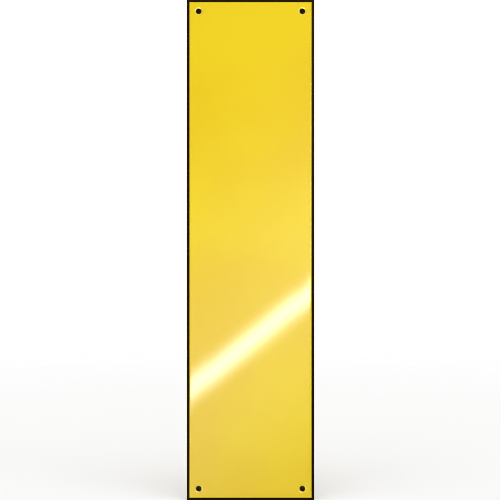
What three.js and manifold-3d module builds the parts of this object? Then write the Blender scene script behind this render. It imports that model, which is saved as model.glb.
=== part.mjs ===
// Kick plate: a bevelled sheet of polished brass with a countersunk hole near each corner, and the four
// countersunk screws that hold it to the foot of a door.
//
// Units are millimetres. +Z runs along the plate's long side and +X across it. The plate's back lies on
// the plane Y = 0, which is the face of the door, so the polished front faces -Y and the screws run
// into +Y. The origin is the centre of the back face.

import * as THREE from "three";
import { mergeVertices } from "three/addons/utils/BufferGeometryUtils.js";
import Module from "manifold-3d";

const { degToRad, clamp, smoothstep } = THREE.MathUtils;

// ---- plate ----
const PLATE_W = 150; // across, X
const PLATE_H = 590; // along, Z
const PLATE_T = 1.5; // sheet thickness, Y
const CORNER_R = 0.8; // eased outer corners, seen from the front
const CORNER_SEGMENTS = 5;
const BEVEL_W = 3.6; // width of the bevel, measured on the face
const BEVEL_D = 1.15; // how far the bevel drops, leaving a square edge behind it
const BEVEL_OVERRUN = 1; // bevelling block past the sheet, front and back

// ---- screw holes ----
const HOLE_INSET = 14; // hole centre to both outer edges
const HOLE_X = PLATE_W / 2 - HOLE_INSET;
const HOLE_Z = PLATE_H / 2 - HOLE_INSET;
const HOLE_D = 4.5; // clearance for the screw
const CSK_D = 7.3; // countersink mouth, 90 degrees included, before the dish
const DISH_D = 9.0; // the face is dished round each countersink, over this diameter
const DISH_ANGLE = 13; // degrees from the face
const HOLE_SEGMENTS = 48;
const CUTTER_FRONT_OVERRUN = 0.05;
const CUTTER_BACK_OVERRUN = 0.5;

// ---- screw head and neck; every depth is measured from the plate's face ----
const SCREW_L = 16; // overall, head included
const HEAD_D = 6.5;
const HEAD_TOP = 0.12; // nominal top of the head
const HEAD_RIM = 0.15; // nominal top to the start of the cone
const EDGE_W = 0.1; // eased edge between crown and rim, across
const EDGE_D = 0.05; // and in depth
const CROWN_BASE = HEAD_TOP + 0.02; // outer edge of the crown
const CROWN_H = 0.06; // rise of the crown at the middle, kept below the plate's face
const CROWN_KNEE_R = HEAD_D * 0.28; // where the crown changes slope
const CROWN_KNEE_H = CROWN_H * 0.6;
const NECK_D = 2.6; // plain neck between head and thread
const CONE_H = (HEAD_D - NECK_D) / 2; // 90 degree head, so the cone is as deep as it is wide
const CONE_END = HEAD_TOP + HEAD_RIM + CONE_H;
const TIP_DEPTH = HEAD_TOP + SCREW_L;
const HEAD_SEGMENTS = 36;

// ---- thread ----
const THREAD_D = 3.5; // over the crests
const CORE_D = 2.2; // at the thread's root
const PITCH = 1.6;
const THREAD_START = 3.0; // nominal depth where the thread runs out
const RISE_START = THREAD_START - 0.2; // crests stand up from here
const RISE_END = THREAD_START + PITCH; // to full height here
const TRIM_START = THREAD_START - 0.4; // threaded body is cut square here
const NECK_END = THREAD_START + 0.2;
const STUB_END = THREAD_START + 0.5; // the neck tapers to a stub inside the threaded core
const STUB_R = CORE_D / 2 - 0.05;
const POINT_L = 4.6; // length of the tapered point
const TIP_SHARE = 0.05; // share of the full radius left at the tip
const POINT_POWER = 0.72; // below 1 the point bulges, 1 is a straight taper
const TURN_SEGMENTS = 18;
const TRIM_SEGMENTS = 12;

// One thread's rows: share of the pitch, share of the height from root to crest.
const THREAD_ROWS = [
  [0, 0],
  [0.4, 1],
  [0.48, 1],
  [0.88, 0],
];

// ---- cross recess ----
const RECESS_SPAN = 3.7; // nominal, tip to tip at the top
const RECESS_W = 0.95; // nominal, width of each wing at the top
const RECESS_DEPTH = 1.75; // below the head's nominal top

// Ends of the block that cuts one bar of the cross; it starts in front of the head.
const RECESS_OPENING = { y: HEAD_TOP - 0.35, width: RECESS_SPAN * 1.12, height: RECESS_W * 1.06 };
const RECESS_BOTTOM = {
  y: HEAD_TOP + RECESS_DEPTH,
  width: RECESS_SPAN * 0.36,
  height: RECESS_W * 0.6,
};

const wasm = await Module();
wasm.setup();

// ---- helpers ----

// A closed three.js geometry as a manifold-3d solid.
function solidOf(geometry) {
  const bare = geometry.index ? geometry.toNonIndexed() : geometry.clone();
  for (const name of Object.keys(bare.attributes)) {
    if (name !== "position") bare.deleteAttribute(name);
  }
  const merged = mergeVertices(bare, 1e-4);
  const solid = new wasm.Manifold(
    new wasm.Mesh({
      numProp: 3,
      vertProperties: merged.attributes.position.array,
      triVerts: new Uint32Array(merged.index.array),
    }),
  );
  if (solid.volume() <= 0) throw new Error("the geometry is inside out");
  return solid;
}

// A manifold-3d solid as a flat-shaded three.js geometry.
function geometryOf(solid) {
  const { numProp, numVert, vertProperties, triVerts } = solid.getMesh();
  const position = new Float32Array(numVert * 3);
  for (let i = 0; i < numVert; i++) {
    position.set(vertProperties.subarray(i * numProp, i * numProp + 3), i * 3);
  }
  const indexed = new THREE.BufferGeometry();
  indexed.setAttribute("position", new THREE.BufferAttribute(position, 3));
  indexed.setIndex(new THREE.BufferAttribute(triVerts, 1));
  const flat = indexed.toNonIndexed();
  flat.computeVertexNormals();
  return flat;
}

// A profile of [radius, depth] points turned about the Y axis. Depth grows along +Y, into the door.
function turned(profile, segments) {
  return new THREE.LatheGeometry(
    profile.map(([radius, depth]) => new THREE.Vector2(radius, depth)),
    segments,
  );
}

// A block on the Y axis with four sloping sides. Each end gives its y, its width in X and height in Z;
// the front end has the lower y.
function taperedBlock(front, back) {
  const block = new THREE.BoxGeometry(2, 2, 2);
  const position = block.attributes.position;
  for (let i = 0; i < position.count; i++) {
    const end = position.getY(i) < 0 ? front : back;
    const x = (Math.sign(position.getX(i)) * end.width) / 2;
    const z = (Math.sign(position.getZ(i)) * end.height) / 2;
    position.setXYZ(i, x, end.y, z);
  }
  return block;
}

// ---- the plate ----

// A rectangle with rounded corners, centred on the origin.
function plateOutline() {
  const cornerSigns = [
    [1, 1],
    [-1, 1],
    [-1, -1],
    [1, -1],
  ];
  const points = cornerSigns.flatMap(([signX, signY], quarter) =>
    Array.from({ length: CORNER_SEGMENTS + 1 }, (_, i) => {
      const angle = (Math.PI / 2) * (quarter + i / CORNER_SEGMENTS);
      return new THREE.Vector2(
        signX * (PLATE_W / 2 - CORNER_R) + CORNER_R * Math.cos(angle),
        signY * (PLATE_H / 2 - CORNER_R) + CORNER_R * Math.sin(angle),
      );
    }),
  );
  const outline = new THREE.Shape(points);
  outline.closePath();
  return outline;
}

// The sheet, before bevelling, from Y = -PLATE_T to 0.
function blank() {
  const sheet = new THREE.ExtrudeGeometry(plateOutline(), {
    depth: PLATE_T,
    bevelEnabled: false,
    curveSegments: 1,
  });
  sheet.rotateX(Math.PI / 2); // outline to X and Z, extrusion to -Y
  return sheet;
}

// A block whose sloping sides are the bevels: inset by BEVEL_W at the plate's face and reaching the
// plate's outer edges BEVEL_D behind it.
function bevelBlock() {
  const endAt = (depth) => {
    const outset = -BEVEL_W + (BEVEL_W / BEVEL_D) * depth;
    return { y: depth - PLATE_T, width: PLATE_W + 2 * outset, height: PLATE_H + 2 * outset };
  };
  return taperedBlock(endAt(-BEVEL_OVERRUN), endAt(PLATE_T + BEVEL_OVERRUN));
}

// The cutter for one hole, with its axis at the origin: a shallow dish that runs into the countersink.
function holeCutter() {
  const dishSlope = Math.tan(degToRad(DISH_ANGLE));
  const seatR = (CSK_D / 2 - (dishSlope * DISH_D) / 2) / (1 - dishSlope); // where dish and cone meet
  const front = -CUTTER_FRONT_OVERRUN;
  const back = PLATE_T + CUTTER_BACK_OVERRUN;
  return turned(
    [
      [0, front],
      [DISH_D / 2 + CUTTER_FRONT_OVERRUN / dishSlope, front],
      [seatR, CSK_D / 2 - seatR],
      [HOLE_D / 2, (CSK_D - HOLE_D) / 2],
      [HOLE_D / 2, back],
      [0, back],
    ],
    HOLE_SEGMENTS,
  );
}

function plateSolid() {
  let plate = solidOf(blank()).intersect(solidOf(bevelBlock()));
  for (const signX of [-1, 1]) {
    for (const signZ of [-1, 1]) {
      const cutter = holeCutter();
      cutter.translate(signX * HOLE_X, -PLATE_T, signZ * HOLE_Z);
      plate = plate.subtract(solidOf(cutter));
    }
  }
  return plate;
}

// ---- the screw, with its axis on Y and the plate's face at Y = 0 ----

// Head and neck, without the recess.
function headSolid() {
  return solidOf(
    turned(
      [
        [0, CROWN_BASE - CROWN_H],
        [CROWN_KNEE_R, CROWN_BASE - CROWN_KNEE_H],
        [HEAD_D / 2 - EDGE_W, CROWN_BASE],
        [HEAD_D / 2, CROWN_BASE + EDGE_D],
        [HEAD_D / 2, HEAD_TOP + HEAD_RIM],
        [NECK_D / 2, CONE_END],
        [NECK_D / 2, NECK_END],
        [STUB_R, STUB_END],
        [0, STUB_END],
      ],
      HEAD_SEGMENTS,
    ),
  );
}

// The threaded body's radius at a depth, for a height of 0 at the root to 1 at the crest.
function threadRadius(depth, height) {
  const rise = smoothstep(depth, RISE_START, RISE_END);
  const fullRadius = CORE_D / 2 + (height * rise * (THREAD_D - CORE_D)) / 2;
  const toTip = clamp((TIP_DEPTH - depth) / POINT_L, 0, 1);
  return fullRadius * (TIP_SHARE + (1 - TIP_SHARE) * Math.pow(toTip, POINT_POWER));
}

// The threaded body, overlong at both ends. A turned grid is sheared along its axis by one pitch a
// turn, so that its rows become helices. The rows line up with one another again at the seam, and a
// fan closes each end.
function threadedBody() {
  const start = THREAD_START - 2 * PITCH;
  const turns = Math.ceil((TIP_DEPTH + 1 - start) / PITCH);
  const rows = [];
  for (let turn = 0; turn < turns; turn++) {
    for (const [share, height] of THREAD_ROWS) rows.push([(turn + share) * PITCH, height]);
  }
  rows.push([turns * PITCH, 0]);

  const at = (row, column) => {
    const [along, height] = rows[row];
    const depth = start + along + (PITCH * column) / TURN_SEGMENTS;
    const angle = (2 * Math.PI * column) / TURN_SEGMENTS;
    const radius = threadRadius(depth, height);
    // a right-hand thread: seen from the head, it turns clockwise as it goes deeper
    return [radius * Math.sin(angle), depth, radius * Math.cos(angle)];
  };

  const position = [];
  const triangle = (...corners) => position.push(...corners.flat());
  const last = rows.length - 1;
  for (let row = 0; row < last; row++) {
    for (let column = 0; column < TURN_SEGMENTS; column++) {
      const corner = at(row, column);
      const opposite = at(row + 1, column + 1);
      triangle(corner, at(row, column + 1), opposite);
      triangle(corner, opposite, at(row + 1, column));
    }
  }

  // End fans, from a point on the axis to the helical edge and to the step at the seam.
  const near = [0, start + PITCH / 2, 0];
  const far = [0, start + turns * PITCH + PITCH / 2, 0];
  for (let column = 0; column < TURN_SEGMENTS; column++) {
    triangle(near, at(0, column + 1), at(0, column));
    triangle(far, at(last, column), at(last, column + 1));
  }
  for (let row = 0; row < THREAD_ROWS.length; row++) {
    triangle(near, at(row, 0), at(row + 1, 0));
    triangle(far, at(last - row, TURN_SEGMENTS), at(last - row - 1, TURN_SEGMENTS));
  }
  const body = new THREE.BufferGeometry();
  body.setAttribute("position", new THREE.Float32BufferAttribute(position, 3));
  return body;
}

// The threaded body, trimmed square at the start of the thread and at the very tip.
function threadSolid() {
  const trim = turned(
    [
      [0, TRIM_START],
      [THREAD_D, TRIM_START],
      [THREAD_D, TIP_DEPTH],
      [0, TIP_DEPTH],
    ],
    TRIM_SEGMENTS,
  );
  return solidOf(threadedBody()).intersect(solidOf(trim));
}

// One bar of the cross recess, narrowing towards its bottom.
function recessBar(turn) {
  const bar = taperedBlock(RECESS_OPENING, RECESS_BOTTOM);
  bar.rotateY(turn);
  return solidOf(bar);
}

function screwSolid() {
  return headSolid()
    .add(threadSolid())
    .subtract(recessBar(0))
    .subtract(recessBar(Math.PI / 2));
}

// ---- materials ----

const polishedBrass = new THREE.MeshStandardMaterial({
  name: "polished_brass",
  color: 0xeed71f,
  roughness: 0.08,
  metalness: 1,
});
const darkBronze = new THREE.MeshStandardMaterial({
  name: "dark_bronze",
  color: 0x33200a,
  roughness: 0.42,
  metalness: 0.9,
});

// ---- assembly ----

// Name, side in X, side in Z, and the angle in degrees to which the screw is driven home.
const SCREWS = [
  ["screw_top_left", -1, 1, 22],
  ["screw_top_right", 1, 1, 61],
  ["screw_bottom_left", -1, -1, 7],
  ["screw_bottom_right", 1, -1, 39],
];

const kickPlate = new THREE.Group();
kickPlate.name = "kick_plate";

const plate = new THREE.Mesh(geometryOf(plateSolid()), polishedBrass);
plate.name = "face_plate";
kickPlate.add(plate);

const screwGeometry = geometryOf(screwSolid());
for (const [name, signX, signZ, turn] of SCREWS) {
  const screw = new THREE.Mesh(screwGeometry, darkBronze);
  screw.name = name;
  screw.position.set(signX * HOLE_X, -PLATE_T, signZ * HOLE_Z);
  screw.rotation.y = degToRad(turn);
  kickPlate.add(screw);
}

export default kickPlate;
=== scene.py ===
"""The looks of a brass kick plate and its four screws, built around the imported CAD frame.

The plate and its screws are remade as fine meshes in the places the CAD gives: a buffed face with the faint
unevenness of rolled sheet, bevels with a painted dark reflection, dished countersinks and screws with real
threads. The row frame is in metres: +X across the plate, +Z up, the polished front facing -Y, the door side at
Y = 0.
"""

import math

import bmesh
import bpy
import numpy as np
from mathutils import Matrix, Vector


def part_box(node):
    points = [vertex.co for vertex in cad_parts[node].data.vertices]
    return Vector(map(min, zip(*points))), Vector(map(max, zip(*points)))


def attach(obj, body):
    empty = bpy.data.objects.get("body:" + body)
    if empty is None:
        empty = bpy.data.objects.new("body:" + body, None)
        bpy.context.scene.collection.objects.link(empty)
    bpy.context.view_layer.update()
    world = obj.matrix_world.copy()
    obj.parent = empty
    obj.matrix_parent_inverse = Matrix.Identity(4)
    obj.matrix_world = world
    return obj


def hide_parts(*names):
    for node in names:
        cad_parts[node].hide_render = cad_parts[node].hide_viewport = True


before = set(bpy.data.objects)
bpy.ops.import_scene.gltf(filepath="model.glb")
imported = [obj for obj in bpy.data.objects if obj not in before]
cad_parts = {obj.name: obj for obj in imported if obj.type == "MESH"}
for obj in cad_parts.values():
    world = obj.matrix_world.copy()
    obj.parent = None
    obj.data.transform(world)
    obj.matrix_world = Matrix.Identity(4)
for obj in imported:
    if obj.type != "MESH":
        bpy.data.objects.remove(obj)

MM = 0.001
PER_M = 1000.0  # millimetres in a metre
QUARTER = math.pi / 2


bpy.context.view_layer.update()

# ------------------------------------------------------------------ places from the frame, in mm

plate_lo, plate_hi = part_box("face_plate")
W = (plate_hi.x - plate_lo.x) / MM
H = (plate_hi.z - plate_lo.z) / MM
T = (plate_hi.y - plate_lo.y) / MM
CX = (plate_hi.x + plate_lo.x) / 2 / MM
CZ = (plate_hi.z + plate_lo.z) / 2 / MM
FACE_Y = plate_lo.y / MM

SCREWS = {  # how far each screw is turned, in degrees
    "screw_top_left": 22,
    "screw_top_right": 61,
    "screw_bottom_left": 7,
    "screw_bottom_right": 39,
}
screw_at = {}
for name in SCREWS:
    screw_lo, screw_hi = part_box(name)
    screw_at[name] = ((screw_lo.x + screw_hi.x) / 2 / MM, (screw_lo.z + screw_hi.z) / 2 / MM)
HEAD_D = (screw_hi.x - screw_lo.x) / MM  # the last screw's size serves for all four
TIP_DEPTH = screw_hi.y / MM - FACE_Y  # depth of the screw's point below the face

# ------------------------------------------------------------------ the plate's details, in mm

BEVEL_W = 3.6
BEVEL_D = 1.15
BEVEL = math.atan2(BEVEL_D, BEVEL_W)
ARRIS_R = 5.0  # rounding between face and bevel
INSET = BEVEL_W + ARRIS_R * math.tan(BEVEL / 2)  # where the face ends, in from the outline
LOWER_R = 0.02  # rounding between bevel and the square land
BACK_R = 0.15
CORNER_R = 0.8  # corners of the outline
INNER_CORNER_R = 0.03  # corners where the bevel meets the face
CORNER_POWER = 1.5  # how fast one corner radius gives way to the other
CORNER_STEPS = 6

HOLE_D = 4.5
HOLE_LIP_R = 0.05  # rounding of the hole at the back
CSK_D = 7.3
CONE = math.radians(45)
CONE_STOP = 0.05  # the cone's last ring lies this far above the hole's wall
WALL_START = 0.03  # the wall's first ring lies this far below it
DISH = math.radians(13)  # slope of the shallow dish round each hole
DISH_D = 9.0
DISH_R = 3.0  # how softly the face runs into the dish
RIM_R = 0.22  # rounding between dish and countersink

GRID_X = 4.0  # spacing of the face's mesh
GRID_Z = 4.2
PATCH = 8  # half the square of mesh round each hole
PATCH_CELLS = 16
FRONT_SHARES = (0.3, 0.6, 0.85)  # rings between the square patch and the dish: 0 square, 1 round
BACK_SHARES = (0.85, 0.5)

POLISHED, EDGE, BACK = 0, 1, 2  # material slots

# Long, shallow waves in the sheet, seen only in how its reflections run.
WAVES = [  # wave vector in 1/mm (x, z), phase, depth in mm
    (0.0080, 0.0135, 0.4, 0.0075),
    (-0.0170, 0.0210, 2.1, 0.0040),
    (0.0300, 0.0085, 4.4, 0.0018),
    (0.0120, -0.0340, 1.3, 0.0015),
    (0.0450, 0.0400, 5.2, 0.0005),
]
WAVE_DEPTH = sum(w[3] for w in WAVES)
FLAT_RIM, RIM_FADE = 1.0, 22.0  # flat beside the bevel, then the length over which waves set in
FLAT_HOLE, HOLE_FADE = 6.0, 26.0  # the same round each hole's centre
SLOPE_STEP = 0.25  # half the span over which a slope is measured


def smooth01(t):
    t = np.clip(t, 0.0, 1.0)
    return t * t * (3 - 2 * t)


class MeshMaker:
    """Collects vertices with their true normals, and faces, then makes one closed mesh."""

    def __init__(self):
        self.points, self.normals, self.faces, self.slots = [], [], [], []

    def vert(self, point, normal):
        self.points.append(point)
        self.normals.append(normal)
        return len(self.points) - 1

    def face(self, ids, slot):
        """Adds a face turned to agree with its vertices' normals. Repeated vertices are dropped."""
        ids = [a for k, a in enumerate(ids) if a != ids[k - 1]]
        if len(ids) < 3:
            return
        p = np.array([self.points[i] for i in ids])
        wanted = np.sum([self.normals[i] for i in ids], axis=0)
        normal = np.zeros(3)
        for k in range(1, len(ids) - 1):
            normal += np.cross(p[k] - p[0], p[k + 1] - p[0])
        if normal @ wanted < 0:
            ids = ids[::-1]
        self.faces.append(ids)
        self.slots.append(slot)

    def strip(self, a, b, slot):
        """Quads between two closed loops of the same length."""
        for i in range(len(a)):
            j = (i + 1) % len(a)
            self.face([a[i], a[j], b[j], b[i]], slot)

    def mesh(self, name):
        me = bpy.data.meshes.new(name)
        me.from_pydata([tuple(float(c) * MM for c in p) for p in self.points], [], self.faces)
        me.polygons.foreach_set("material_index", self.slots)
        me.polygons.foreach_set("use_smooth", [True] * len(self.faces))
        me.validate(clean_customdata=False)
        me.normals_split_custom_set_from_vertices([tuple(float(c) for c in n) for n in self.normals])
        me.update()
        return me


def wave_depth(x, z):
    """How far the face lies below its plane at (x, z)."""
    rim = min(W / 2 - abs(x - CX), H / 2 - abs(z - CZ))
    keep = smooth01((rim - BEVEL_W - FLAT_RIM) / RIM_FADE)
    for hx, hz in screw_at.values():
        keep = keep * smooth01((math.hypot(x - hx, z - hz) - FLAT_HOLE) / HOLE_FADE)
    depth = WAVE_DEPTH
    for kx, kz, phase, amount in WAVES:
        depth += amount * math.sin(kx * x + kz * z + phase)
    return keep * depth


def face_vert(mk, x, z):
    """A vertex on the waved front."""
    h = SLOPE_STEP
    depth = wave_depth(x, z)
    slope_x = (wave_depth(x + h, z) - wave_depth(x - h, z)) / (2 * h)
    slope_z = (wave_depth(x, z + h) - wave_depth(x, z - h)) / (2 * h)
    normal = np.array([slope_x, -1.0, slope_z])
    return mk.vert((x, FACE_Y + depth, z), normal / np.linalg.norm(normal))


def back_vert(mk, x, z):
    return mk.vert((x, FACE_Y + T, z), np.array([0.0, 1.0, 0.0]))


def arc(centre, radius, start, end, steps):
    """Points (across, depth, tilt of the normal) on an arc from tilt start to tilt end."""
    tilts = [start + (end - start) * k / steps for k in range(steps + 1)]
    return [(centre[0] - radius * math.sin(t), centre[1] - radius * math.cos(t), t) for t in tilts]


def grid_lines(half, centres, spacing):
    """Grid lines over -half..half with a fine patch of lines at each centre."""
    fixed = [-half]
    for c in centres:
        fixed += [c - PATCH + 2 * PATCH * k / PATCH_CELLS for k in range(PATCH_CELLS + 1)]
    fixed.append(half)
    full = [fixed[0]]
    for a in fixed[1:]:
        gap = a - full[-1]
        if gap > spacing * 1.5:
            count = int(round(gap / spacing))
            full += [full[-1] + gap * k / count for k in range(1, count)]
        full.append(a)
    return full


def add_side(mk, xs, zs, patches, make_vert, slot):
    """The grid of one side, with square gaps for the holes. Returns the loop round each gap, and the border."""
    nx, nz, m = len(xs), len(zs), PATCH_CELLS
    ids = {}
    for i, x in enumerate(xs):
        for j, z in enumerate(zs):
            if not any(i0 < i < i0 + m and j0 < j < j0 + m for i0, j0, _, _ in patches):
                ids[i, j] = make_vert(mk, x + CX, z + CZ)
    for i in range(nx - 1):
        for j in range(nz - 1):
            if any(i0 <= i < i0 + m and j0 <= j < j0 + m for i0, j0, _, _ in patches):
                continue
            mk.face([ids[c] for c in ((i, j), (i + 1, j), (i + 1, j + 1), (i, j + 1))], slot)
    squares = {}
    for i0, j0, hx, hz in patches:
        loop = [ids[i0 + k, j0] for k in range(m)]
        loop += [ids[i0 + m, j0 + k] for k in range(m)]
        loop += [ids[i0 + m - k, j0 + m] for k in range(m)]
        loop += [ids[i0, j0 + m - k] for k in range(m)]
        squares[hx, hz] = loop
    border = [ids[i, 0] for i in range(nx - 1)]
    border += [ids[nx - 1, j] for j in range(nz - 1)]
    border += [ids[i, nz - 1] for i in range(nx - 1, 0, -1)]
    border += [ids[0, j] for j in range(nz - 1, 0, -1)]
    return squares, border


def hole_profile():
    """The dish's outer radius, and rows of ((radius, depth, tilt), slot) from there to the back."""
    # the dish's line and the countersink's line meet at the seat; arcs soften both ends of the dish
    slope = math.tan(DISH)
    seat = (CSK_D / 2 - slope * DISH_D / 2) / (1 - slope)
    reach = RIM_R * math.tan((CONE - DISH) / 2)
    dish_in = (seat + reach * math.cos(DISH), CSK_D / 2 - seat - reach * math.sin(DISH))
    cone_r = seat - reach * math.cos(CONE)
    cone_top = CSK_D / 2 - cone_r
    cone_end = (CSK_D - HOLE_D) / 2
    cone_last = cone_end - CONE_STOP
    dish_r = DISH_D / 2 + DISH_R * math.tan(DISH / 2)
    dish_out = (dish_r - DISH_R * math.sin(DISH), DISH_R * (1 - math.cos(DISH)))
    middle = [(a + b) / 2 for a, b in zip(dish_in, dish_out)]
    rim_centre = (dish_in[0] + RIM_R * math.sin(DISH), dish_in[1] + RIM_R * math.cos(DISH))

    polished = arc((dish_r, DISH_R), DISH_R, 0.0, DISH, 6)
    polished.append((middle[0], middle[1], DISH))
    polished += arc(rim_centre, RIM_R, DISH, CONE, 7)
    dark = [
        (cone_r - (cone_last - cone_top), cone_last, CONE),
        (HOLE_D / 2, cone_end + WALL_START, QUARTER),
    ]
    dark += arc((HOLE_D / 2 + HOLE_LIP_R, T - HOLE_LIP_R), HOLE_LIP_R, QUARTER, math.pi, 4)
    return dish_r, [(row, POLISHED) for row in polished] + [(row, EDGE) for row in dark]


def add_hole(mk, x0, z0, front_square, back_square):
    count = 4 * PATCH_CELLS
    # the first angle points at the square's first corner
    angles = [math.radians(225) + 2 * math.pi * k / count for k in range(count)]

    def ring(r, depth, tilt):
        out = []
        for a in angles:
            n = (-math.cos(a) * math.sin(tilt), -math.cos(tilt), -math.sin(a) * math.sin(tilt))
            out.append(mk.vert((x0 + r * math.cos(a), FACE_Y + depth, z0 + r * math.sin(a)), n))
        return out

    def blend_ring(square, r, share, make_vert):
        """A ring between the square and a circle of radius r."""
        out = []
        for k, a in enumerate(angles):
            sx, _, sz = mk.points[square[k]]
            x = sx * (1 - share) + (x0 + r * math.cos(a)) * share
            z = sz * (1 - share) + (z0 + r * math.sin(a)) * share
            out.append(make_vert(mk, x, z))
        return out

    dish_r, profile = hole_profile()
    rings = [(front_square, POLISHED)]
    rings += [(blend_ring(front_square, dish_r, s, face_vert), POLISHED) for s in FRONT_SHARES]
    rings += [(ring(*row), slot) for row, slot in profile]
    lip = HOLE_D / 2 + HOLE_LIP_R
    rings += [(blend_ring(back_square, lip, s, back_vert), BACK) for s in BACK_SHARES]
    rings.append((back_square, BACK))
    for (a, _), (b, slot) in zip(rings, rings[1:]):
        mk.strip(a, b, slot)


def add_outer_edge(mk, xs, zs, front_border, back_border):
    """Arris, bevel, lower arris, land and back arris, from the front's border to the back's."""
    lower_centre = BEVEL_D + LOWER_R * math.tan((QUARTER - BEVEL) / 2)
    profile = arc((INSET, ARRIS_R), ARRIS_R, 0.0, BEVEL, 10)[1:]  # inset, depth, tilt
    profile += arc((LOWER_R, lower_centre), LOWER_R, BEVEL, QUARTER, 5)
    profile += arc((BACK_R, T - BACK_R), BACK_R, QUARTER, math.pi, 5)
    profile.append((INSET * 0.5, T, math.pi))

    def loop_at(inset, depth, tilt):
        radius_share = max(0.0, 1 - inset / BEVEL_W) ** CORNER_POWER
        radius = INNER_CORNER_R + (CORNER_R - INNER_CORNER_R) * radius_share
        out = []

        def put(x, z, a):
            n = (math.cos(a) * math.sin(tilt), -math.cos(tilt), math.sin(a) * math.sin(tilt))
            out.append(mk.vert((x + CX, FACE_Y + depth, z + CZ), n))

        def corner(sx, sz, start):
            x0, z0 = sx * (W / 2 - inset - radius), sz * (H / 2 - inset - radius)
            for k in range(CORNER_STEPS + 1):
                a = start + QUARTER * k / CORNER_STEPS
                put(x0 + radius * math.cos(a), z0 + radius * math.sin(a), a)

        corner(-1, -1, math.pi)
        for x in xs[1:-1]:
            put(x, -(H / 2 - inset), -QUARTER)
        corner(1, -1, -QUARTER)
        for z in zs[1:-1]:
            put(W / 2 - inset, z, 0.0)
        corner(1, 1, 0.0)
        for x in xs[-2:0:-1]:
            put(x, H / 2 - inset, QUARTER)
        corner(-1, 1, QUARTER)
        for z in zs[-2:0:-1]:
            put(-(W / 2 - inset), z, math.pi)
        return out

    def spread(border):
        """A grid's border with each corner repeated, to match a loop with rounded corners."""
        out = []
        at = 0
        for length in (len(xs) - 1, len(zs) - 1) * 2:
            out += [border[at]] * (CORNER_STEPS + 1)
            out += border[at + 1 : at + length]
            at += length
        return out

    loops = [(spread(front_border), POLISHED)]
    for inset, depth, tilt in profile:
        loops.append((loop_at(inset, depth, tilt), EDGE if tilt < math.pi - 0.01 else BACK))
    loops.append((spread(back_border), BACK))
    for (a, _), (b, slot) in zip(loops, loops[1:]):
        mk.strip(a, b, slot)


def build_plate():
    mk = MeshMaker()
    # hole places and grid lines are measured from the plate's centre
    holes_x = sorted({round(x - CX, 4) for x, _ in screw_at.values()})
    holes_z = sorted({round(z - CZ, 4) for _, z in screw_at.values()})
    xs = grid_lines(W / 2 - INSET, holes_x, GRID_X)
    zs = grid_lines(H / 2 - INSET, holes_z, GRID_Z)

    def nearest(values, target):
        return min(range(len(values)), key=lambda i: abs(values[i] - target))

    patches = [  # first column and row of each patch, and its hole
        (nearest(xs, hx - PATCH), nearest(zs, hz - PATCH), hx, hz) for hx in holes_x for hz in holes_z
    ]
    front_squares, front_border = add_side(mk, xs, zs, patches, face_vert, POLISHED)
    back_squares, back_border = add_side(mk, xs, zs, patches, back_vert, BACK)
    for (hx, hz), square in front_squares.items():
        add_hole(mk, hx + CX, hz + CZ, square, back_squares[hx, hz])
    add_outer_edge(mk, xs, zs, front_border, back_border)
    return mk.mesh("plate_fine")


# ------------------------------------------------------------------ the screws, in mm
# A screw stands on the Y axis, its head near Y = 0 (the plate's face) and its point towards +Y.

HEAD_TOP = 0.12
HEAD_RIM = 0.15
NECK_D = 2.6
THREAD_D = 3.5
CORE_D = 2.2
PITCH = 1.6
THREAD_START = 3.0
POINT_L = 4.6
POINT_SHARE, POINT_POWER = 0.05, 0.72  # thickness left at the tip, and how full the point is
RUN_IN = 0.2  # the thread begins to rise this far above its start
HEAD_SEGMENTS = 64
THREAD_SEGMENTS = 40
PLAIN_SEGMENTS = 16
WELD = 4e-6  # metres
SLIVER = 1e-6
SHARP = math.radians(38)

HEAD_DOME = (  # radius, depth below HEAD_TOP
    (0, -0.035), (0.5, -0.034), (1.0, -0.031), (1.5, -0.025), (2.0, -0.015),
    (2.5, -0.002), (2.9, 0.012), (3.08, 0.024), (3.18, 0.043), (HEAD_D / 2, 0.09),
)
THREAD_SHAPE = (  # share of the pitch, share of the thread's height
    (0.0, 0.0), (0.10, 0.0), (0.16, 0.05), (0.39, 0.94), (0.42, 1.0),
    (0.46, 1.0), (0.49, 0.94), (0.72, 0.05), (0.78, 0.0),
)
WING_SPAN, WING_WIDTH = 1.85, 0.475  # half sizes of one bar of the cross recess
WING_TIP = 0.22  # reach of its rounded tips
WING_LEVELS = (  # depth below HEAD_TOP, scale of the span, scale of the width
    (-0.4, 1.14, 1.08),
    (0.05, 1.0, 1.0),
    (1.15, 0.62, 0.80),
    (1.7, 0.34, 0.62),
)
RECESS_MIDDLE = ((0, -0.4), (0.86, -0.4), (0.74, 0.05), (0.34, 1.25), (0, 1.6))  # as HEAD_DOME


def add_object(name, me):
    o = bpy.data.objects.new(name, me)
    bpy.context.scene.collection.objects.link(o)
    return o


def face_outwards(o):
    bm = bmesh.new()
    bm.from_mesh(o.data)
    bmesh.ops.remove_doubles(bm, verts=bm.verts, dist=1e-5)
    bmesh.ops.recalc_face_normals(bm, faces=bm.faces)
    bm.to_mesh(o.data)
    bm.free()
    return o


def solid(name, verts, faces):
    me = bpy.data.meshes.new(name)
    me.from_pydata([tuple(map(float, v)) for v in verts], [], faces)
    me.validate()
    me.update()
    return face_outwards(add_object(name, me))


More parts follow.
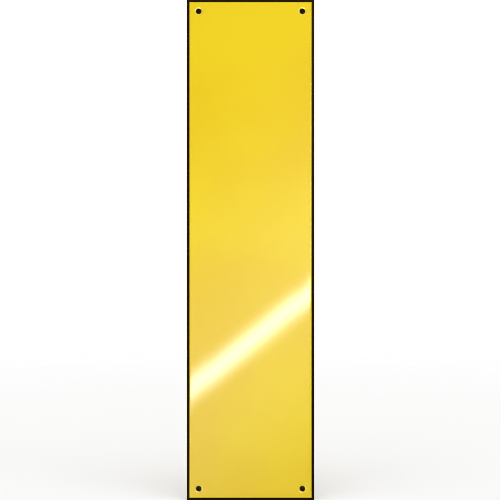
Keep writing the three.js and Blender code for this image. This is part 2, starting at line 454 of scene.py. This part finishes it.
def turned(name, profile, segments):
    """A profile of (radius, depth) turned about the Y axis, closed at both ends on the axis."""
    verts, faces, rings = [], [], []
    for r, depth in profile:
        if r == 0:
            rings.append([len(verts)] * segments)
            verts.append((0, depth, 0))
        else:
            rings.append([len(verts) + k for k in range(segments)])
            for k in range(segments):
                a = 2 * math.pi * k / segments
                verts.append((r * math.sin(a), depth, r * math.cos(a)))
    for a, b in zip(rings, rings[1:]):
        for k in range(segments):
            quad = [a[k], a[(k + 1) % segments], b[(k + 1) % segments], b[k]]
            quad = [x for i, x in enumerate(quad) if x != quad[i - 1]]
            if len(quad) > 2:
                faces.append(quad)
    return solid(name, verts, faces)


def boolean(target, other, operation):
    """Applies the boolean to target and removes other."""
    mod = target.modifiers.new("cut", "BOOLEAN")
    mod.operation = operation
    mod.solver = "EXACT"
    mod.object = other
    bpy.context.view_layer.update()
    evaluated = target.evaluated_get(bpy.context.evaluated_depsgraph_get())
    result = bpy.data.meshes.new_from_object(evaluated)
    target.modifiers.remove(mod)
    target.data = result
    bpy.data.objects.remove(other)
    return target


def build_thread():
    """Rows of a turned grid, sheared by one pitch a turn so that they run as helices."""
    segments = THREAD_SEGMENTS
    start = THREAD_START - 2 * PITCH
    turns = int(math.ceil((TIP_DEPTH + 1 - start) / PITCH)) + 1
    rows = [((k + share) * PITCH, height) for k in range(turns) for share, height in THREAD_SHAPE]
    rows.append((turns * PITCH, 0.0))

    def point_at(row, column):
        along, height = rows[row]
        depth = start + along + PITCH * column / segments
        a = 2 * math.pi * column / segments
        rise = float(smooth01((depth - THREAD_START + RUN_IN) / (PITCH + RUN_IN)))
        t = min(max((TIP_DEPTH - depth) / POINT_L, 0.0), 1.0)
        taper = POINT_SHARE + (1 - POINT_SHARE) * t**POINT_POWER
        r = (CORE_D / 2 + height * rise * (THREAD_D - CORE_D) / 2) * taper
        return (r * math.sin(a), depth, r * math.cos(a))

    verts, faces, index = [], [], {}

    def put(p):
        """The index of a point, shared where a turn's end meets the next turn's start."""
        key = tuple(round(c, 6) for c in p)
        if key not in index:
            index[key] = len(verts)
            verts.append(p)
        return index[key]

    grid = [[put(point_at(r, c)) for c in range(segments + 1)] for r in range(len(rows))]
    for r in range(len(rows) - 1):
        for c in range(segments):
            faces.append([grid[r][c], grid[r][c + 1], grid[r + 1][c + 1], grid[r + 1][c]])
    near = put((0, start - PITCH * 0.5, 0))
    far = put((0, start + turns * PITCH + PITCH * 1.5, 0))
    last = len(rows) - 1
    for c in range(segments):
        faces.append([near, grid[0][c + 1], grid[0][c]])
        faces.append([far, grid[last][c], grid[last][c + 1]])
    for r in range(len(THREAD_SHAPE)):
        faces.append([near, grid[r][0], grid[r + 1][0]])
        faces.append([far, grid[last - r][segments], grid[last - r - 1][segments]])
    return solid("thread", verts, faces)


def build_wing(turn):
    """One bar of the cross recess, with sloping walls and rounded tips."""
    outline = []
    for side in (1, -1):
        for k in range(7):
            a = -side * QUARTER + math.pi * k / 6
            x = side * (WING_SPAN - WING_TIP) + WING_TIP * math.cos(a)
            outline.append((x, WING_WIDTH * math.sin(a)))
    count = len(outline)
    verts, rings = [], []
    for depth, span_scale, width_scale in WING_LEVELS:
        rings.append([len(verts) + k for k in range(count)])
        for x, z in outline:
            x, z = x * span_scale, z * width_scale
            across = x * math.cos(turn) + z * math.sin(turn)
            up = -x * math.sin(turn) + z * math.cos(turn)
            verts.append((across, HEAD_TOP + depth, up))
    faces = [list(rings[0]), list(rings[-1])]
    for a, b in zip(rings, rings[1:]):
        faces += [[a[k], a[(k + 1) % count], b[(k + 1) % count], b[k]] for k in range(count)]
    return solid("wing", verts, faces)


def build_recess_cutter():
    """Two crossed bars over a shallow cone."""
    cutter = boolean(build_wing(0.0), build_wing(QUARTER), "UNION")
    middle = turned("middle", [(r, HEAD_TOP + d) for r, d in RECESS_MIDDLE], PLAIN_SEGMENTS)
    return boolean(cutter, middle, "UNION")


def build_head():
    rim_end = HEAD_TOP + HEAD_RIM
    cone = (HEAD_D - NECK_D) / 2
    profile = [(r, HEAD_TOP + d) for r, d in HEAD_DOME]
    profile += [
        (HEAD_D / 2, rim_end - 0.01),
        (HEAD_D / 2 - 0.04, rim_end + 0.05),
        (NECK_D / 2 + 0.25, rim_end + cone - 0.25),
        (NECK_D / 2 + 0.08, rim_end + cone - 0.02),
        (NECK_D / 2, rim_end + cone + 0.2),
        (NECK_D / 2, THREAD_START + 0.2),
        (CORE_D / 2 - 0.05, THREAD_START + 0.5),
        (0, THREAD_START + 0.5),
    ]
    return turned("screw_fine", profile, HEAD_SEGMENTS)


def build_screw():
    head = build_head()
    trim_top = THREAD_START - 0.4
    trim_profile = [(0, trim_top), (THREAD_D, trim_top), (THREAD_D, TIP_DEPTH), (0, TIP_DEPTH)]
    trim = turned("trim", trim_profile, PLAIN_SEGMENTS)
    body = boolean(build_thread(), trim, "INTERSECT")
    screw = boolean(head, body, "UNION")
    screw = boolean(screw, build_recess_cutter(), "DIFFERENCE")
    face_outwards(screw)
    me = screw.data
    me.transform(Matrix.Scale(MM, 4))
    bm = bmesh.new()  # the booleans leave slivers a few micrometres long: weld them away
    bm.from_mesh(me)
    bmesh.ops.remove_doubles(bm, verts=bm.verts, dist=WELD)
    bmesh.ops.dissolve_degenerate(bm, edges=bm.edges, dist=SLIVER)
    bm.to_mesh(me)
    bm.free()
    me.polygons.foreach_set("use_smooth", [True] * len(me.polygons))
    me.set_sharp_from_angle(angle=SHARP)
    me.update()
    bpy.data.objects.remove(screw)
    return me


# ------------------------------------------------------------------ shader helpers


class Value:
    """A value in a node tree, with ordinary arithmetic."""

    def __init__(self, net, socket):
        self.net, self.socket = net, socket

    def __add__(self, o): return self.net.math("ADD", self, o)
    def __radd__(self, o): return self.net.math("ADD", self, o)
    def __sub__(self, o): return self.net.math("SUBTRACT", self, o)
    def __rsub__(self, o): return self.net.math("SUBTRACT", o, self)
    def __mul__(self, o): return self.net.math("MULTIPLY", self, o)
    def __truediv__(self, o): return self.net.math("DIVIDE", self, o)
    def __pow__(self, o): return self.net.math("POWER", self, o)
    def __neg__(self): return self.net.math("MULTIPLY", self, -1.0)
    def abs(self): return self.net.math("ABSOLUTE", self)
    def max(self, o): return self.net.math("MAXIMUM", self, o)
    def min(self, o): return self.net.math("MINIMUM", self, o)


class Net:
    """The node tree of a material or world, emptied and ready to fill."""

    def __init__(self, owner):
        owner.use_nodes = True
        self.tree = owner.node_tree
        self.tree.nodes.clear()

    def node(self, kind, inputs=None, **settings):
        n = self.tree.nodes.new(kind)
        for key, value in settings.items():
            setattr(n, key, value)
        self.feed(n, inputs or {})
        return n

    def feed(self, node, inputs):
        """Links or sets inputs by name or index. A colour of three numbers gets alpha 1."""
        for key, value in inputs.items():
            if isinstance(value, Value):
                value = value.socket
            if isinstance(value, bpy.types.NodeSocket):
                self.tree.links.new(value, node.inputs[key])
            else:
                node.inputs[key].default_value = (*value, 1.0) if isinstance(value, tuple) else value

    def math(self, operation, a, b=None):
        inputs = {0: a} if b is None else {0: a, 1: b}
        return Value(self, self.node("ShaderNodeMath", inputs, operation=operation).outputs[0])

    def step(self, value, zero, one):
        """0 where value is zero, 1 where it is one, smooth between."""
        inputs = {"Value": value, "From Min": zero, "From Max": one}
        n = self.node("ShaderNodeMapRange", inputs, interpolation_type="SMOOTHSTEP")
        return Value(self, n.outputs["Result"])

    def gauss(self, value, width):
        x = value / width
        return self.math("EXPONENT", -(x * x))

    def xyz(self, vector):
        n = self.node("ShaderNodeSeparateXYZ", {0: vector})
        return [Value(self, n.outputs[k]) for k in range(3)]

    def mix(self, share, start, end):
        """Colours start to end."""
        n = self.node("ShaderNodeMix", {0: share, 6: start, 7: end}, data_type="RGBA")
        return Value(self, n.outputs[2])

    def noise(self, place, scale=1.0, detail=2.0, roughness=0.5):
        """Noise at a place (x, y, z), in waves per unit times scale."""
        vector = self.node("ShaderNodeCombineXYZ", dict(enumerate(place))).outputs[0]
        inputs = {"Vector": vector, "Scale": scale, "Detail": detail, "Roughness": roughness}
        return Value(self, self.node("ShaderNodeTexNoise", inputs, noise_dimensions="3D").outputs["Fac"])

    def bump(self, height, strength, distance):
        inputs = {"Strength": strength, "Distance": distance, "Height": height}
        return Value(self, self.node("ShaderNodeBump", inputs).outputs[0])


def metal(name):
    """A bare metal: its material, net, shader, and the place on the object in mm."""
    m = bpy.data.materials.new(name)
    net = Net(m)
    shader = net.node("ShaderNodeBsdfPrincipled", {"Metallic": 1.0})
    net.node("ShaderNodeOutputMaterial", {"Surface": shader.outputs[0]})
    x, y, z = net.xyz(net.node("ShaderNodeTexCoord").outputs["Object"])
    return m, net, shader, (x * PER_M, y * PER_M, z * PER_M)


def hairlines(net, x, z, kinds):
    """Straight, tapering scratches: 1 on a line, 0 off it."""
    found = None
    for angle, width, length, rarity in kinds:
        c, s = math.cos(math.radians(angle)), math.sin(math.radians(angle))
        along = x * s + z * c
        across = x * c - z * s
        seed = 0.37 * angle + 3.1  # each direction reads its own slice of the noise
        n = net.noise((across / width, seed, along / length), detail=0.0)
        lines = net.step(n, zero=rarity, one=rarity + 0.05)
        found = lines if found is None else found.max(lines)
    return found


def near_holes(net, x, z, zero, one):
    """A step on the distance in mm to the nearest screw hole."""
    found = None
    for hx, hz in screw_at.values():
        distance = ((x - hx) * (x - hx) + (z - hz) * (z - hz)) ** 0.5
        here = net.step(distance, zero=zero, one=one)
        found = here if found is None else found.max(here)
    return found


# ------------------------------------------------------------------ materials
# Colours are linear RGB and lengths are mm. In each sum the factor after a pattern is how much it adds.

BRASS = (0.930, 0.700, 0.010)
BRASS_WARM = (0.900, 0.560, 0.008)
# a painted highlight: the paler brass of the dish round each hole
BRASS_DISH_HIGHLIGHT = (0.955, 0.800, 0.110)
LACQUER = 0.9
# painted dark reflection for the bevel: its dark tones, and the brass that shows through its gaps
EDGE_REFLECTION_DARK = (0.0125, 0.0082, 0.0005)
EDGE_REFLECTION_PALE = (0.0185, 0.0122, 0.0008)
EDGE_REFLECTION_GAP = (0.30, 0.20, 0.03)
DARK_W = 3.20  # the bevel's painted dark reflection: how far it comes in from the left and right
DARK_EXTRA = 0.2  # and how much further from the top and bottom
DARK_SOFT = 0.04  # half the width of its soft border

MILL = (0.735, 0.515, 0.088)
MILL_PALE = (0.800, 0.580, 0.112)
MILL_BLOOM = (0.52, 0.33, 0.09)
MILL_HOLE = (0.50, 0.32, 0.08)
MILL_GRAIN = (0.60, 0.42, 0.09)
MILL_SCRATCH = (0.90, 0.68, 0.20)

BRONZE = (0.0260, 0.0115, 0.0012)
BRONZE_PALE = (0.0370, 0.0180, 0.0019)
# painted sheen: the shank's lighter colour
BRONZE_SHANK_SHEEN = (0.120, 0.066, 0.022)
BRONZE_RUBBED = (0.36, 0.205, 0.075)
BRONZE_TINT = (0.55, 0.42, 0.30)

# lean in degrees, width and length of the noise, and how high it must reach to show
FRONT_SCRATCHES = ((4, 0.22, 60.0, 0.755), (-17, 0.20, 34.0, 0.775), (62, 0.18, 26.0, 0.785))
BACK_SCRATCHES = ((31, 0.40, 30.0, 0.765), (-9, 0.34, 70.0, 0.76), (-58, 0.36, 22.0, 0.785))


def paint_dark_edge_reflection(net, place, colour, rough, height):
    """Paints a dark reflection onto the bevel and the square land below it, with gaps here and there where the
    brass shows.
    """
    x, y, z = place
    wander = (net.noise(place, scale=0.35) - 0.5) * 0.07  # unevenness of the dark border, mm
    inset = (W / 2 - (x - CX).abs()).min(H / 2 - (z - CZ).abs() - DARK_EXTRA)
    # mask of the painted dark reflection along the bevel and land
    dark = net.step(inset + wander, zero=DARK_W + DARK_SOFT, one=DARK_W - DARK_SOFT)
    mottle = net.noise((x * 1.6, y * 1.6, z * 1.6), detail=4.0, roughness=0.65)
    reflection_gaps = net.step(net.noise(place, scale=0.22, detail=4.0, roughness=0.7), zero=0.60, one=0.72)
    reflection_gaps = reflection_gaps * net.step(mottle, zero=0.5, one=0.7)
    dark_reflection = net.mix(net.step(mottle, zero=0.3, one=0.7), EDGE_REFLECTION_DARK, EDGE_REFLECTION_PALE)
    dark_reflection = net.mix(reflection_gaps * 0.10, dark_reflection, EDGE_REFLECTION_GAP)
    colour = net.mix(dark, colour, dark_reflection)
    rough = rough * (1.0 - dark) + (0.27 + (mottle - 0.5) * 0.16 - reflection_gaps * 0.06) * dark
    height = height + mottle * dark * 2.0
    return colour, rough, height, (1.0 - dark) * LACQUER


def polished_brass(edge=False):
    m, net, shader, place = metal("polished_brass_edge" if edge else "polished_brass")
    x, y, z = place

    # slow changes of tone, a little warmer near the outline; the dishes are smoother, and painted paler as a
    # painted highlight
    cloud = net.noise(place, scale=0.0055, roughness=0.45)
    fine_cloud = net.noise(place, scale=0.06, detail=3.0, roughness=0.6)
    rim = (W / 2 - (x - CX).abs()).min(H / 2 - (z - CZ).abs())
    near_rim = net.step(rim, zero=9.0, one=2.0)
    dish = near_holes(net, x, z, zero=5.0, one=4.3)
    warm = net.step(cloud, zero=0.34, one=0.66) * 0.34 + net.step(fine_cloud, zero=0.5, one=0.8) * 0.05
    warm = warm + near_rim * 0.10
    colour = net.mix(warm, BRASS, BRASS_WARM)
    # painted highlight: the dish round each hole painted paler
    colour = net.mix(dish * 0.9, colour, BRASS_DISH_HIGHLIGHT)

    # the lines a buffing wheel leaves: fine and even along Z, with sparse hairlines across them
    lines = net.noise((x * 3.4, 0.0, z * 0.035), detail=4.0, roughness=0.65)
    fine = net.noise((x * 11.0, 0.0, z * 0.16))
    hair = hairlines(net, x, z, FRONT_SCRATCHES)
    rough = 0.50 + (lines - 0.5) * 0.10 + net.step(cloud, zero=0.35, one=0.7) * 0.04
    rough = rough + hair * 0.05 - dish * 0.22
    height = lines * 0.6 + fine * 0.25 - hair * 0.9
    lacquer = LACQUER
    if edge:
        # the bevel and the land below it get a painted dark reflection
        colour, rough, height, lacquer = paint_dark_edge_reflection(net, place, colour, rough, height)

    net.feed(shader, {
        "Base Color": colour,
        "Roughness": rough,
        "Coat Weight": lacquer,
        "Coat Roughness": 0.03,
        "Coat IOR": 1.5,
        "Normal": net.bump(height, strength=0.020, distance=0.00002),
    })
    return m


def mill_brass():
    """The door side: plain rolled sheet with the mill's long grain and a few handling marks."""
    m, net, shader, place = metal("mill_brass")
    x, y, z = place
    grain = net.noise((x * 2.2, 0.0, z * 0.028), detail=5.0, roughness=0.7)
    coarse = net.noise((x * 0.35, 0.0, z * 0.006), detail=3.0, roughness=0.6)
    cloud = net.noise(place, scale=0.010, detail=3.0, roughness=0.55)
    bloom = net.noise((x, y + 31.0, z), scale=0.026, detail=4.0, roughness=0.6)
    bloom = net.step(bloom, zero=0.52, one=0.78)
    hair = hairlines(net, x, z, BACK_SCRATCHES)
    hole = near_holes(net, x, z, zero=6.5, one=2.6)
    colour = net.mix(net.step(cloud, zero=0.3, one=0.72), MILL, MILL_PALE)
    colour = net.mix(bloom * 0.13, colour, MILL_BLOOM)
    colour = net.mix(hole * 0.30, colour, MILL_HOLE)
    colour = net.mix(net.step(grain, zero=0.35, one=0.7) * 0.14, colour, MILL_GRAIN)
    colour = net.mix(hair * 0.20, colour, MILL_SCRATCH)
    rough = 0.29 + (grain - 0.5) * 0.16 + (coarse - 0.5) * 0.12 + bloom * 0.05 - hair * 0.08
    height = grain + coarse * 0.6 - hair * 0.3
    net.feed(shader, {
        "Base Color": colour,
        "Roughness": rough,
        "Anisotropic": 0.35,
        "Normal": net.bump(height, strength=0.30, distance=0.00005),
    })
    return m


def dark_bronze():
    """Screw finish: darkened bronze with the shank painted lighter as a painted sheen, rubbed a little brighter
    on crests and on the head's rim.
    """
    m, net, shader, place = metal("dark_bronze")
    x, y, z = place
    r = (x * x + z * z) ** 0.5
    mottle = net.noise(place, scale=0.9, detail=4.0, roughness=0.6)
    fleck = net.noise(place, scale=4.5, detail=3.0, roughness=0.6)
    body = net.step(y, zero=1.2, one=3.2)  # below the head: the shank, painted lighter as a painted sheen
    crest = net.step(r, zero=1.42, one=1.74) * net.step(y, zero=3.0, one=4.0)
    rim = net.step(r, zero=3.0, one=3.22) * net.step(y, zero=0.45, one=0.12)
    rub = crest * 0.75 + rim * 0.22
    rub = rub * net.step(mottle, zero=0.30, one=0.62)
    colour = net.mix(net.step(mottle, zero=0.3, one=0.7), BRONZE, BRONZE_PALE)
    # painted sheen: the shank lighter than the head
    colour = net.mix(body * 0.55, colour, BRONZE_SHANK_SHEEN)
    colour = net.mix(rub, colour, BRONZE_RUBBED)
    # fine turning rings on the head's top
    turning = net.math("SINE", r * 42.0) * net.step(y, zero=0.5, one=0.2)
    rough = 0.34 + (mottle - 0.5) * 0.22 + (fleck - 0.5) * 0.12 - rub * 0.08
    height = fleck * 0.5 + mottle * 0.6 + turning * 0.10
    net.feed(shader, {
        "Base Color": colour,
        "Roughness": rough,
        "Specular Tint": BRONZE_TINT,
        "Normal": net.bump(height, strength=0.30, distance=0.00004),
    })
    return m


plate_materials = (polished_brass(), polished_brass(edge=True), mill_brass())  # by slot
bronze = dark_bronze()

# ------------------------------------------------------------------ pieces

plate_mesh = build_plate()
for m in plate_materials:
    plate_mesh.materials.append(m)
plate = add_object("face_plate_fine", plate_mesh)
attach(plate, "root")
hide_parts("face_plate")

screw_mesh = build_screw()
screw_mesh.materials.clear()
screw_mesh.materials.append(bronze)
for name, turn in SCREWS.items():
    x, z = screw_at[name]
    screw = add_object(name + "_fine", screw_mesh.copy())
    screw.location = (x * MM, FACE_Y * MM, z * MM)
    screw.rotation_euler = (0, math.radians(turn), 0)
    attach(screw, "root")
    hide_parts(name)

# ------------------------------------------------------------------ studio, in metres

FLOOR_Z = plate_lo.z - 0.0002
FLOOR_R = 2.6
FLOOR_SIDES = 64
FLOOR_COLOUR = (0.91, 0.91, 0.905)
FLOOR_FADE = (0.55, 2.2)  # radii where the floor starts to fade and is gone

LENS = 85
SENSOR = 36
FRAME_SHARE = 0.9984025559  # the frame's width at the plate's outline, as a share of the plate's height
OUTLINE_DEPTH = 1.3 * MM  # the outline is the land below the bevel, a little behind the face
CAMERA_DISTANCE = H * MM * FRAME_SHARE * LENS / SENSOR - OUTLINE_DEPTH

# Soft panels of white light: where each one's middle is seen from the plate (azimuth from -Y towards +X,
# elevation), its lean, half width and half length, in degrees, its brightness, and whether it holds a lamp.
PANELS = (
    (0.0, -4.4, 39.0, 5.8, 26.0, 4.2, True),  # a strip low in front, leaning
    (-45.0, -24.0, 39.0, 4.2, 16.0, 3.4, True),  # lower, to the left
    (48.0, 14.0, 39.0, 4.2, 16.0, 3.4, True),  # higher, to the right
    (0.0, 72.0, 0.0, 16.0, 30.0, 2.1, False),  # overhead
)
TUBE = 0.08  # the lamp inside a strip, as a share of its half width
STRIP_GLOW, TUBE_GLOW = 0.5, 4.6  # shares of a strip's brightness
DEG = 180 / math.pi


def build_floor():
    """A pale disc that fades out towards its rim and isn't seen in reflections."""
    me = bpy.data.meshes.new("studio_floor")
    angles = [2 * math.pi * k / FLOOR_SIDES for k in range(FLOOR_SIDES)]
    ring = [(FLOOR_R * math.cos(a), FLOOR_R * math.sin(a), FLOOR_Z) for a in angles]
    me.from_pydata(ring, [], [list(range(FLOOR_SIDES))])
    me.update()
    floor = add_object("studio_floor", me)
    m = bpy.data.materials.new("studio_floor")
    net = Net(m)
    diffuse = net.node("ShaderNodeBsdfDiffuse", {"Color": FLOOR_COLOUR})
    clear = net.node("ShaderNodeBsdfTransparent")
    both = net.node("ShaderNodeMixShader")
    x, y, _ = net.xyz(net.node("ShaderNodeTexCoord").outputs["Object"])
    r = (x * x + y * y) ** 0.5
    fade = net.step(r, zero=FLOOR_FADE[0], one=FLOOR_FADE[1])
    net.feed(both, {0: fade, 1: diffuse.outputs[0], 2: clear.outputs[0]})
    net.node("ShaderNodeOutputMaterial", {"Surface": both.outputs[0]})
    me.materials.append(m)
    floor.visible_glossy = False


def angle_of(net, operation, value):
    """An inverse sine or cosine, in degrees."""
    return net.math(operation, value.min(1.0).max(-1.0)) * DEG


def room_light(net, dx, dy, dz):
    """The room's brightness in a direction. Angles are in degrees."""
    off_axis = angle_of(net, "ARCCOSINE", -dy)
    azimuth = net.math("ARCTAN2", dx, -dy) * DEG
    elevation = angle_of(net, "ARCSINE", dz)

    # the front half: dimmer straight ahead where the camera stands and below, brighter overhead
    room = 0.32 + net.step(off_axis, zero=14.0, one=40.0) * 0.46
    room = room + net.step(elevation, zero=5.0, one=70.0) * 0.16
    room = room - net.step(elevation, zero=-8.0, one=-65.0) * 0.22
    # the back half, with a soft window on each side
    window = net.step(azimuth.abs(), zero=112.0, one=128.0) * net.step(azimuth.abs(), zero=168.0, one=150.0)
    window = window * net.step(elevation, zero=-38.0, one=-18.0) * net.step(elevation, zero=50.0, one=20.0)
    behind = 0.45 + window * 0.75 + net.step(elevation, zero=20.0, one=75.0) * 0.35
    front = net.step(-dy, zero=-0.10, one=0.12)
    return behind * (1.0 - front) + room * front


def build_world():
    """A plain white room with soft panels in it. Reflections and diffuse surfaces see the same light."""
    world = bpy.data.worlds.new("studio")
    bpy.context.scene.world = world
    net = Net(world)
    dx, dy, dz = net.xyz(net.node("ShaderNodeTexCoord").outputs["Generated"])
    light = room_light(net, dx, dy, dz)

    def dot(v):
        return dx * v.x + dy * v.y + dz * v.z

    for az, el, lean, half_width, half_length, bright, has_lamp in PANELS:
        a, e, t = (math.radians(v) for v in (az, el, lean))
        middle = Vector((math.sin(a) * math.cos(e), -math.cos(a) * math.cos(e), math.sin(e)))
        right = Vector((math.cos(a), math.sin(a), 0.0))
        up = right.cross(middle) * -1.0
        along = right * math.cos(t) + up * math.sin(t)
        across = along.cross(middle)

        u = angle_of(net, "ARCSINE", dot(along))
        v = angle_of(net, "ARCSINE", dot(across))
        glow = net.gauss(v, half_width)
        if has_lamp:
            glow = glow * STRIP_GLOW + net.gauss(v, half_width * TUBE) * TUBE_GLOW
        ends = net.step(u.abs(), zero=half_length, one=half_length * 0.6)
        same_side = net.math("GREATER_THAN", dot(middle), 0.0)
        light = light + glow * ends * same_side * bright

    path = net.node("ShaderNodeLightPath")
    colour = net.node("ShaderNodeCombineColor", {0: light, 1: light, 2: light})
    room = net.node("ShaderNodeBackground", {"Color": colour.outputs[0]})
    backdrop = net.node("ShaderNodeBackground", {"Color": (1, 1, 1)})
    # the camera itself sees a plain white backdrop
    shares = {0: path.outputs["Is Camera Ray"], 1: room.outputs[0], 2: backdrop.outputs[0]}
    final = net.node("ShaderNodeMixShader", shares)
    net.node("ShaderNodeOutputWorld", {"Surface": final.outputs[0]})


def build_camera():
    """Looks straight at the plate, which fills the height of the frame."""
    data = bpy.data.cameras.new("camera")
    data.lens = LENS
    data.sensor_width = SENSOR
    data.clip_start = 0.01
    data.shift_x = -0.001
    camera = add_object("camera", data)
    camera.location = (CX * MM, plate_lo.y - CAMERA_DISTANCE, CZ * MM)
    camera.rotation_euler = (math.radians(90), 0, 0)
    bpy.context.scene.camera = camera


build_floor()
build_world()
build_camera()

scene = bpy.context.scene
scene.cycles.filter_width = 0.9  # a crisp lens, so that the narrow dark edge stays sharp
scene.view_settings.view_transform = "Standard"
scene.view_settings.look = "None"
